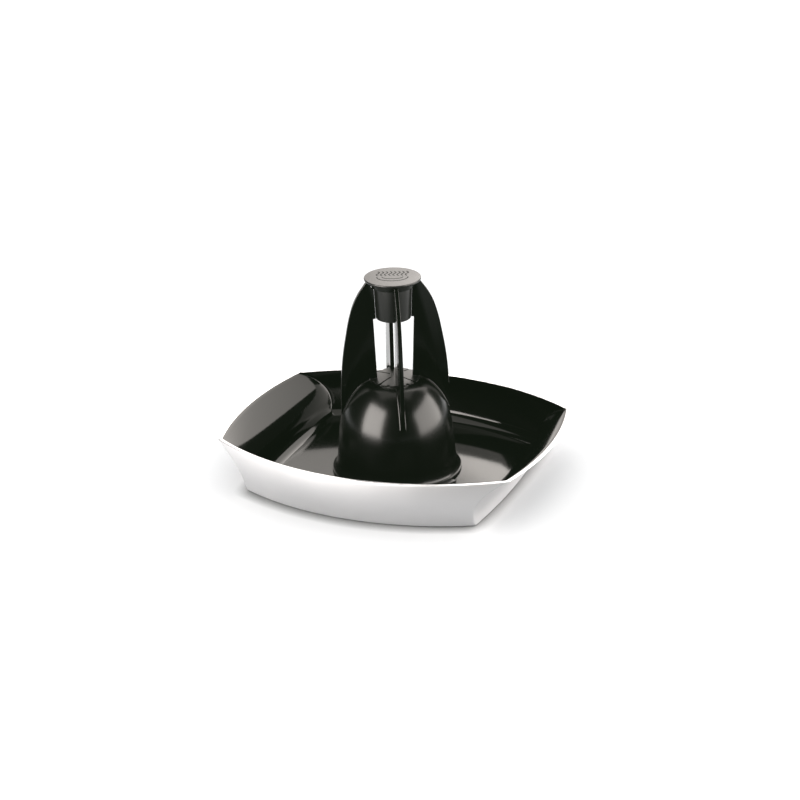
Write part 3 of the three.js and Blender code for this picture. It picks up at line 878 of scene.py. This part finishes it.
class ROASTER_OT_stage(bpy.types.Operator):
    """Pale floor, bright backdrop, softboxes and the camera"""

    bl_idname = "roaster.stage"
    bl_label = "Stage"

    def execute(self, context):
        studio = context.scene.roaster_studio
        self.camera(studio)
        self.floor(studio)
        self.room(studio)
        for name, turn, height, *shape in LAMPS:
            self.softbox(name, direction(studio.azimuth + math.radians(turn), math.radians(height)), *shape)
        return {"FINISHED"}

    def camera(self, studio):
        data = bpy.data.cameras.new("camera")
        data.lens, data.sensor_width = studio.lens, 36.0
        data.clip_end = 50
        camera = bpy.data.objects.new("camera", data)
        bpy.context.scene.collection.objects.link(camera)
        away = direction(studio.azimuth, studio.elevation)
        turn = (-away).to_track_quat("-Z", "Y") @ Matrix.Rotation(-studio.roll, 3, "Z").to_quaternion()
        place = Matrix.Translation(Vector(studio.aim) + away * studio.distance)
        camera.matrix_world = place @ turn.to_matrix().to_4x4()
        bpy.context.scene.camera = camera

    def floor(self, studio):
        """A white sweep. Mirrored rays see painted shade on it: grey before the object, and further out
        a dark lane that stands in for the darker surroundings in front of the set. A short occlusion term
        paints a deeper shadow into its colour where the pan meets it."""
        bm = bmesh.new()
        bmesh.ops.create_grid(bm, x_segments=2, y_segments=2, size=6)
        floor = loose_object(bm, "floor")
        material, tree, position = blank_material("white_sweep", Roughness=0.9)
        # the grey and the dark lane tone are painted shade that only mirrored rays see
        white, grey, painted_dark_lane = (shade(linear(tone)) for tone in ("#F4F4F4", "#BCBCBC", "#242424"))
        lane_middle = 0.06
        toward, across = [
            node(tree, "ShaderNodeVectorMath", {"operation": "DOT_PRODUCT", 1: direction(turn)},
                 {0: position}).outputs["Value"]
            for turn in (studio.azimuth, studio.azimuth + QUARTER)
        ]
        near = node(tree, "ShaderNodeMapRange", {"From Min": -0.2, "From Max": 0.1}, {"Value": toward})
        far = node(tree, "ShaderNodeMapRange", {"From Min": 0.17, "From Max": 0.27}, {"Value": toward})
        offset = node(tree, "ShaderNodeMath", {"operation": "SUBTRACT", 1: lane_middle}, {0: across})
        wide = node(tree, "ShaderNodeMath", {"operation": "ABSOLUTE"}, {0: offset.outputs["Value"]})
        lane = node(tree, "ShaderNodeMapRange",
                    {"From Min": 0.14, "From Max": 0.26, "To Min": 1.0, "To Max": 0.0},
                    {"Value": wide.outputs["Value"]})
        shaded = node(tree, "ShaderNodeMath", {"operation": "MULTIPLY"},
                      {0: far.outputs["Result"], 1: lane.outputs["Result"]})
        front = node(tree, "ShaderNodeMix", {"data_type": "RGBA", "A": white, "B": grey},
                     {"Factor": near.outputs["Result"]})
        mirrored = node(tree, "ShaderNodeMix", {"data_type": "RGBA", "B": painted_dark_lane},
                        {"Factor": shaded.outputs["Value"], "A": front.outputs["Result"]})
        # painted contact shadow: occlusion darkens the floor's colour near the pan
        contact = node(tree, "ShaderNodeAmbientOcclusion",
                       {"samples": 8, "Color": white, "Distance": 14 * MM})
        glossy = node(tree, "ShaderNodeLightPath").outputs["Is Glossy Ray"]
        tone = node(tree, "ShaderNodeMix", {"data_type": "RGBA"},
                    {"Factor": glossy, "A": contact.outputs["Color"], "B": mirrored.outputs["Result"]})
        tree.links.new(tone.outputs["Result"], tree.nodes["Principled BSDF"].inputs["Base Color"])
        floor.data.materials.append(material)

    def room(self, studio):
        """An even white room that reflections see as bright behind the object and dark in front of it."""
        view = bpy.context.scene.view_settings
        view.view_transform, view.use_curve_mapping = "Standard", True
        view.curve_mapping.black_level = BLACK_LEVEL
        view.curve_mapping.update()
        world = bpy.data.worlds.new("studio")
        bpy.context.scene.world = world
        world.use_nodes = True
        tree = world.node_tree
        outward = node(tree, "ShaderNodeTexCoord").outputs["Generated"]
        side = node(tree, "ShaderNodeVectorMath",
                    {"operation": "DOT_PRODUCT", 1: direction(studio.azimuth)}, {0: outward})
        seen = node(tree, "ShaderNodeMapRange",
                    {"interpolation_type": "SMOOTHSTEP", "From Min": -0.92, "From Max": -0.72,
                     "To Min": BACKDROP[0], "To Max": BACKDROP[1]}, {"Value": side.outputs["Value"]})
        glossy = node(tree, "ShaderNodeLightPath").outputs["Is Glossy Ray"]
        strength = node(tree, "ShaderNodeMix", {"data_type": "FLOAT", "A": ROOM_LIGHT},
                        {"Factor": glossy, "B": seen.outputs["Result"]})
        tint = node(tree, "ShaderNodeMix", {"data_type": "RGBA", "A": (1, 1, 1, 1), "B": shade(WARM)},
                    {"Factor": glossy})
        background = tree.nodes["Background"].inputs
        tree.links.new(tint.outputs["Result"], background["Color"])
        tree.links.new(strength.outputs["Result"], background["Strength"])

    def softbox(self, name, away, width, height, power, roll):
        """A soft rectangle of light that shows in gloss alone. The floor, matte finishes and light that
        has bounced don't take it up, so it throws no bright patch beside the pan."""
        data = bpy.data.lights.new(name, "AREA")
        data.shape, data.size, data.size_y, data.energy = "RECTANGLE", width, height, power
        data.color = WARM
        data.cycles.max_bounces = 0
        lamp = bpy.data.objects.new(name, data)
        lamp.visible_diffuse = False
        bpy.context.scene.collection.objects.link(lamp)
        lamp.matrix_world = (Matrix.Translation(LAMP_AIM + away * LAMP_DISTANCE)
                             @ (-away).to_track_quat("-Z", "Y").to_matrix().to_4x4()
                             @ Matrix.Rotation(math.radians(roll), 4, "Z"))
        spared = bpy.data.collections.new(f"{name}_spares")
        spared.objects.link(bpy.data.objects["floor"])
        lamp.light_linking.receiver_collection = spared
        spared.collection_objects[0].light_linking.link_state = "EXCLUDE"


# ---------------------------------------------------------------- Panel and registration


class ROASTER_PT_sidebar(bpy.types.Panel):
    """Lists the pieces in the sidebar"""

    bl_idname = "ROASTER_PT_sidebar"
    bl_label = "Vertical infusion roaster"
    bl_space_type = "VIEW_3D"
    bl_region_type = "UI"
    bl_category = "Roaster"

    def draw(self, context):
        for group in (getattr(context.scene, name) for name in GROUPS):
            column = self.layout.column(align=True)
            for name in group.bl_rna.properties.keys():
                if name not in ("rna_type", "name"):
                    column.prop(group, name)
        for operator in OPERATORS:
            self.layout.operator(operator.bl_idname)


OPERATORS = (ROASTER_OT_stage, ROASTER_OT_pan, ROASTER_OT_cup, ROASTER_OT_bell, ROASTER_OT_fins,
             ROASTER_OT_stopper)
GROUPS = {"roaster_sizes": RoasterSizes, "roaster_colours": RoasterColours, "roaster_studio": RoasterStudio}


def register():
    for cls in (*GROUPS.values(), *OPERATORS, ROASTER_PT_sidebar):
        bpy.utils.register_class(cls)
    for name, group in GROUPS.items():
        setattr(bpy.types.Scene, name, PointerProperty(type=group))


def unregister():
    for name in GROUPS:
        delattr(bpy.types.Scene, name)
    for cls in (ROASTER_PT_sidebar, *reversed(OPERATORS), *GROUPS.values()):
        bpy.utils.unregister_class(cls)


def main():
    register()
    bpy.ops.roaster.stage()
    bpy.ops.roaster.pan()
    bpy.ops.roaster.cup()
    bpy.ops.roaster.bell()
    bpy.ops.roaster.fins()
    bpy.ops.roaster.stopper()


if __name__ == "__main__":
    main()
